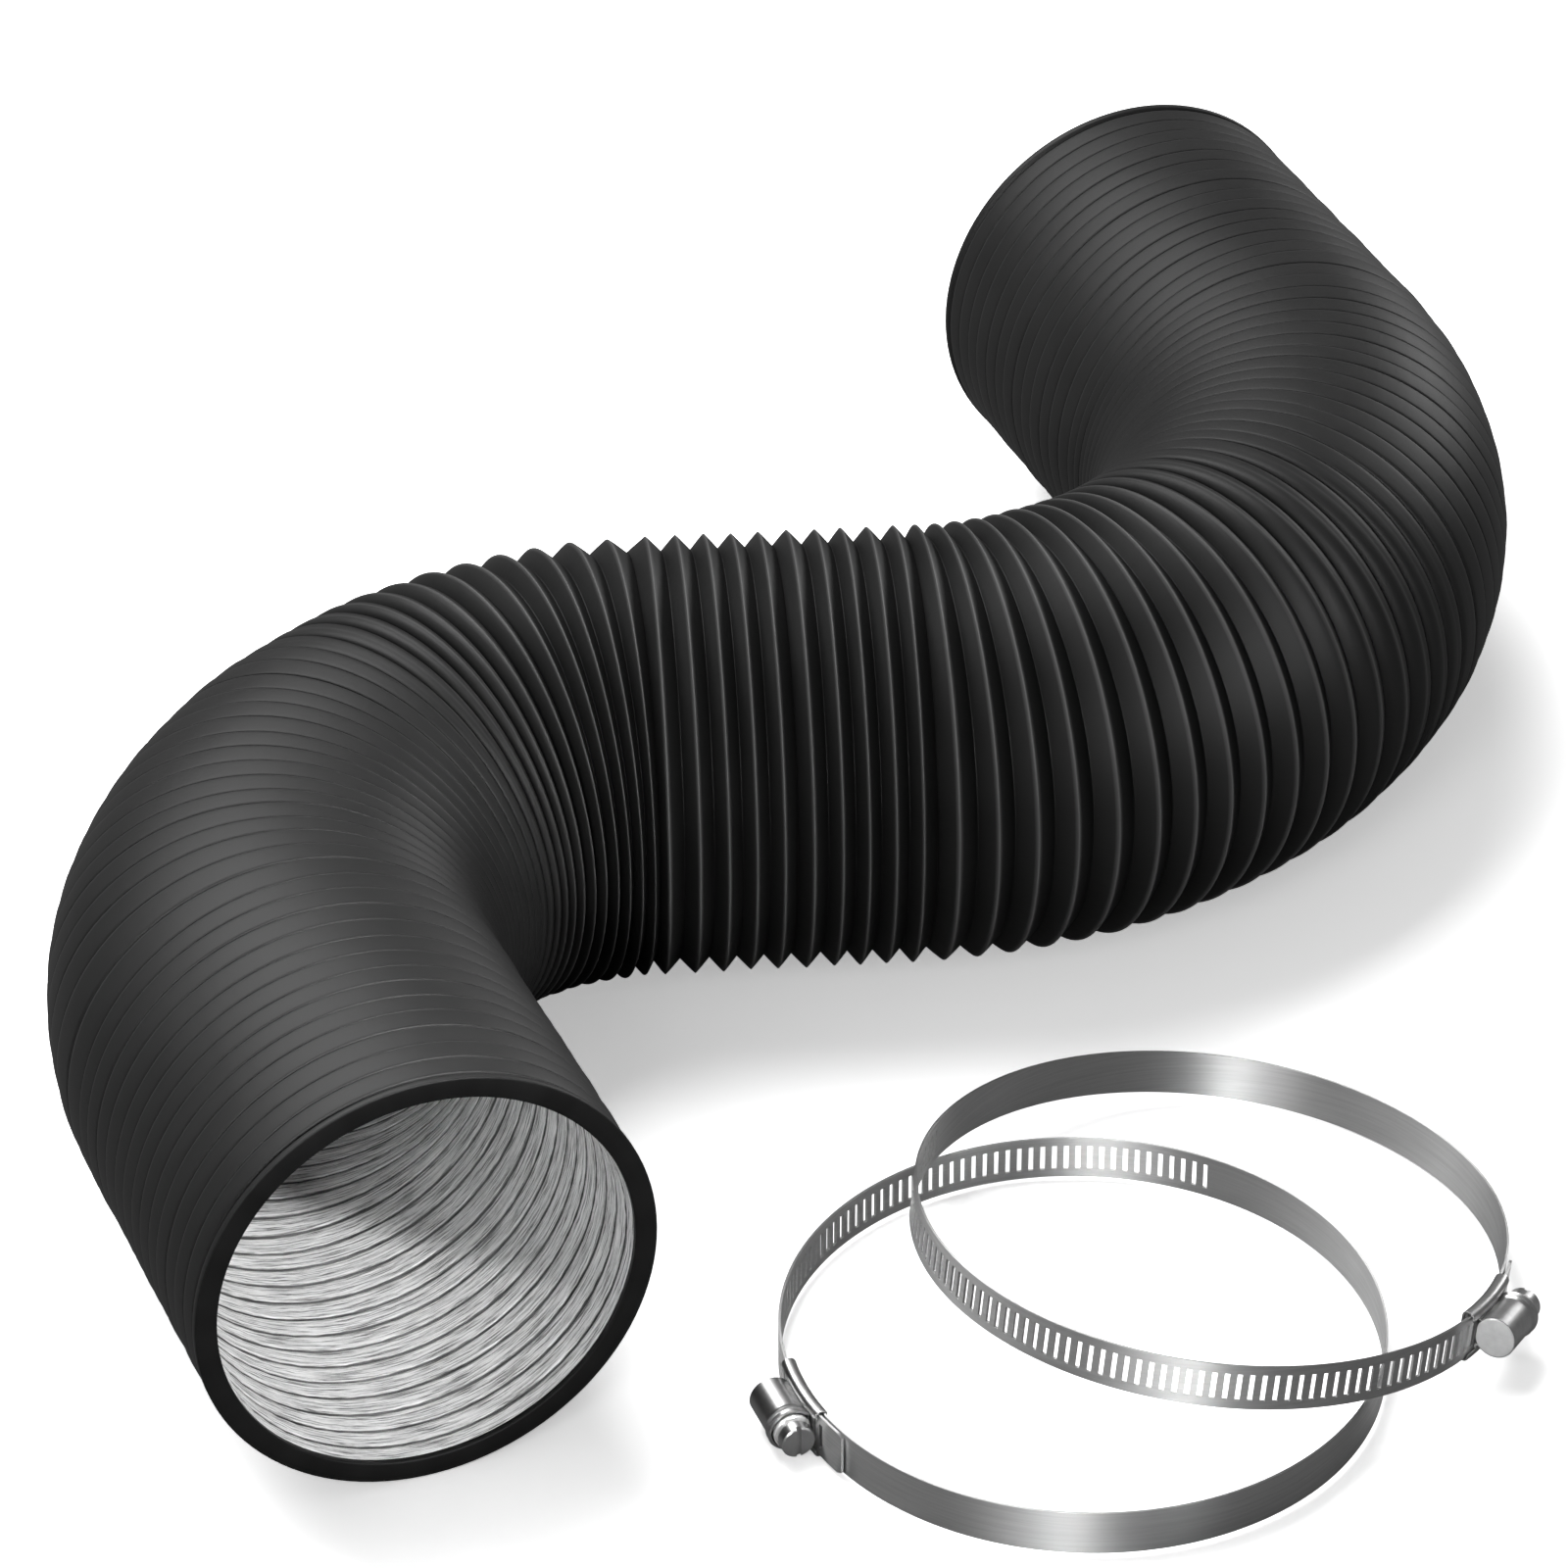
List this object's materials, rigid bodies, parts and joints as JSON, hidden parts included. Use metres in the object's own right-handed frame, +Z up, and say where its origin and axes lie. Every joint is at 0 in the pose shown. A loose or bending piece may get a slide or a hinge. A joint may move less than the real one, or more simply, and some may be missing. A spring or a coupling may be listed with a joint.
{
  "type": "flexible air duct",
  "caption": "Corrugated black flexible air duct with a foil lining, lying in an S bend, with worm-drive hose clamps beside it.",
  "frame": {"origin": "on the floor, under the middle of the footprint of the duct and its clamps", "axes": "+Z up from the floor; +X along the middle run of the duct, near enough; +Y to the back, the longest extent"},
  "size_m": [0.3802, 0.525, 0.114],
  "materials": {
    "sleeve": "satin",
    "liner": "brushed, crinkled",
    "hoop_wire": "drawn wire",
    "band": "polished",
    "housing": "pressed, satin",
    "screw": "turned"
  },
  "bodies": {
    "middle": {"sleeve_middle": "sleeve", "liner_middle": "liner", "hoops_middle": "hoop_wire"},
    "front_1": {"sleeve_front_1": "sleeve", "liner_front_1": "liner", "hoops_front_1": "hoop_wire"},
    "front_2": {"sleeve_front_2": "sleeve", "liner_front_2": "liner", "hoops_front_2": "hoop_wire"},
    "front_3": {"sleeve_front_3": "sleeve", "liner_front_3": "liner", "hoops_front_3": "hoop_wire"},
    "front_4": {"sleeve_front_4": "sleeve", "liner_front_4": "liner", "hoops_front_4": "hoop_wire"},
    "front_5": {"sleeve_front_5": "sleeve", "liner_front_5": "liner", "hoops_front_5": "hoop_wire"},
    "front_6": {"sleeve_front_6": "sleeve", "liner_front_6": "liner", "hoops_front_6": "hoop_wire"},
    "front_7": {"sleeve_front_7": "sleeve", "liner_front_7": "liner", "hoops_front_7": "hoop_wire"},
    "back_1": {"sleeve_back_1": "sleeve", "liner_back_1": "liner", "hoops_back_1": "hoop_wire"},
    "back_2": {"sleeve_back_2": "sleeve", "liner_back_2": "liner", "hoops_back_2": "hoop_wire"},
    "back_3": {"sleeve_back_3": "sleeve", "liner_back_3": "liner", "hoops_back_3": "hoop_wire"},
    "back_4": {"sleeve_back_4": "sleeve", "liner_back_4": "liner", "hoops_back_4": "hoop_wire"},
    "back_5": {"sleeve_back_5": "sleeve", "liner_back_5": "liner", "hoops_back_5": "hoop_wire"},
    "back_6": {"sleeve_back_6": "sleeve", "liner_back_6": "liner", "hoops_back_6": "hoop_wire"},
    "back_7": {"sleeve_back_7": "sleeve", "liner_back_7": "liner", "hoops_back_7": "hoop_wire"},
    "clamp_a": {"clamp_a_saddle": "housing", "clamp_a_housing": "housing", "clamp_a_band_captive": "band"},
    "clamp_a_screw": {"clamp_a_screw": "screw"},
    "clamp_a_far": {"clamp_a_band_far": "band"},
    "clamp_a_tail": {"clamp_a_band_tail": "band"},
    "clamp_b": {"clamp_b_saddle": "housing", "clamp_b_housing": "housing", "clamp_b_band_captive": "band"},
    "clamp_b_screw": {"clamp_b_screw": "screw"},
    "clamp_b_far": {"clamp_b_band_far": "band"},
    "clamp_b_tail": {"clamp_b_band_tail": "band"}
  },
  "joints": [
    {"name": "stretch_front_inner", "type": "slide", "parent": "middle", "child": "front_1", "axis": [-0.9963, -0.0854, 0], "range_m": [0, 0.012]},
    {"name": "bend_front_1", "type": "hinge", "parent": "front_1", "child": "front_2", "pos_m": [-0.07611, 0.04247, 0.057], "axis": [0, 0, -1], "range_deg": [0, 26]},
    {"name": "bend_front_2", "type": "hinge", "parent": "front_2", "child": "front_3", "pos_m": [-0.12846, 0.01653, 0.057], "axis": [0, 0, -1], "range_deg": [0, 26]},
    {"name": "bend_front_3", "type": "hinge", "parent": "front_3", "child": "front_4", "pos_m": [-0.16769, -0.02677, 0.057], "axis": [0, 0, -1], "range_deg": [0, 26]},
    {"name": "bend_front_4", "type": "hinge", "parent": "front_4", "child": "front_5", "pos_m": [-0.18836, -0.08141, 0.057], "axis": [0, 0, -1], "range_deg": [0, 26]},
    {"name": "bend_front_5", "type": "hinge", "parent": "front_5", "child": "front_6", "pos_m": [-0.1876, -0.13983, 0.057], "axis": [0, 0, -1], "range_deg": [0, 26]},
    {"name": "stretch_front_outer", "type": "slide", "parent": "front_6", "child": "front_7", "axis": [0.3778, -0.9259, 0], "range_m": [0, 0.08]},
    {"name": "stretch_back_inner", "type": "slide", "parent": "middle", "child": "back_1", "axis": [0.9963, 0.0854, 0], "range_m": [0, 0.012]},
    {"name": "bend_back_1", "type": "hinge", "parent": "back_1", "child": "back_2", "pos_m": [0.06216, -0.05547, 0.057], "axis": [0, 0, -1], "range_deg": [0, 26]},
    {"name": "bend_back_2", "type": "hinge", "parent": "back_2", "child": "back_3", "pos_m": [0.12076, -0.02648, 0.057], "axis": [0, 0, -1], "range_deg": [0, 26]},
    {"name": "bend_back_3", "type": "hinge", "parent": "back_3", "child": "back_4", "pos_m": [0.16473, 0.0219, 0.057], "axis": [0, 0, -1], "range_deg": [0, 26]},
    {"name": "bend_back_4", "type": "hinge", "parent": "back_4", "child": "back_5", "pos_m": [0.18799, 0.083, 0.057], "axis": [0, 0, -1], "range_deg": [0, 26]},
    {"name": "bend_back_5", "type": "hinge", "parent": "back_5", "child": "back_6", "pos_m": [0.18733, 0.14838, 0.057], "axis": [0, 0, -1], "range_deg": [0, 26]},
    {"name": "stretch_back_outer", "type": "slide", "parent": "back_6", "child": "back_7", "axis": [-0.3746, 0.9272, 0], "range_m": [0, 0.08]},
    {"name": "clamp_a_lift", "type": "slide", "parent": "middle", "child": "clamp_a", "axis": [0, 0, 1], "range_m": [0, 0.12]},
    {"name": "clamp_a_screw_turn", "type": "hinge", "parent": "clamp_a", "child": "clamp_a_screw", "pos_m": [-0.00893, -0.21792, 0.0068], "axis": [-0.3584, 0.9336, 0], "range_deg": [0, 5400]},
    {"name": "clamp_a_far_flex", "type": "hinge", "parent": "clamp_a", "child": "clamp_a_far", "pos_m": [0.10036, -0.25254, 0.0068], "axis": [0, 0, 1], "range_deg": [0, 17.7], "deforming": ["clamp_a_band_far"]},
    {"name": "clamp_a_tail_flex", "type": "hinge", "parent": "clamp_a_far", "child": "clamp_a_tail", "pos_m": [0.04888, -0.1179, 0.0068], "axis": [0, 0, 1], "range_deg": [0, 17.7], "deforming": ["clamp_a_band_tail"]},
    {"name": "clamp_b_lift", "type": "slide", "parent": "clamp_a", "child": "clamp_b", "axis": [0, 0, 1], "range_m": [0, 0.12]},
    {"name": "clamp_b_screw_turn", "type": "hinge", "parent": "clamp_b", "child": "clamp_b_screw", "pos_m": [0.1655, -0.19241, 0.01317], "axis": [-0.4632, -0.8762, 0.1333], "range_deg": [0, 5400]},
    {"name": "clamp_b_far_flex", "type": "hinge", "parent": "clamp_b", "child": "clamp_b_far", "pos_m": [0.11962, -0.08754, 0.00685], "axis": [0.0941, 0.1009, 0.9904], "range_deg": [0, 17.7], "deforming": ["clamp_b_band_far"]},
    {"name": "clamp_b_tail_flex", "type": "hinge", "parent": "clamp_b_far", "child": "clamp_b_tail", "pos_m": [0.05269, -0.21375, 0.02606], "axis": [0.0941, 0.1009, 0.9904], "range_deg": [0, 17.7], "deforming": ["clamp_b_band_tail"]}
  ],
  "couplings": [
    {"joint": "bend_front_2", "follows": "bend_front_1", "ratio": 1},
    {"joint": "bend_front_3", "follows": "bend_front_1", "ratio": 1},
    {"joint": "bend_front_4", "follows": "bend_front_1", "ratio": 1},
    {"joint": "bend_front_5", "follows": "bend_front_1", "ratio": 1},
    {"joint": "bend_back_2", "follows": "bend_back_1", "ratio": 1},
    {"joint": "bend_back_3", "follows": "bend_back_1", "ratio": 1},
    {"joint": "bend_back_4", "follows": "bend_back_1", "ratio": 1},
    {"joint": "bend_back_5", "follows": "bend_back_1", "ratio": 1},
    {"joint": "stretch_back_outer", "follows": "stretch_front_outer", "ratio": 1},
    {"joint": "stretch_front_inner", "follows": "stretch_front_outer", "ratio": 0.15},
    {"joint": "stretch_back_inner", "follows": "stretch_front_outer", "ratio": 0.15},
    {"joint": "clamp_a_far_flex", "follows": "clamp_a_screw_turn", "ratio": 0.0032725},
    {"joint": "clamp_a_tail_flex", "follows": "clamp_a_screw_turn", "ratio": 0.0032725},
    {"joint": "clamp_b_far_flex", "follows": "clamp_b_screw_turn", "ratio": 0.0032725},
    {"joint": "clamp_b_tail_flex", "follows": "clamp_b_screw_turn", "ratio": 0.0032725}
  ]
}
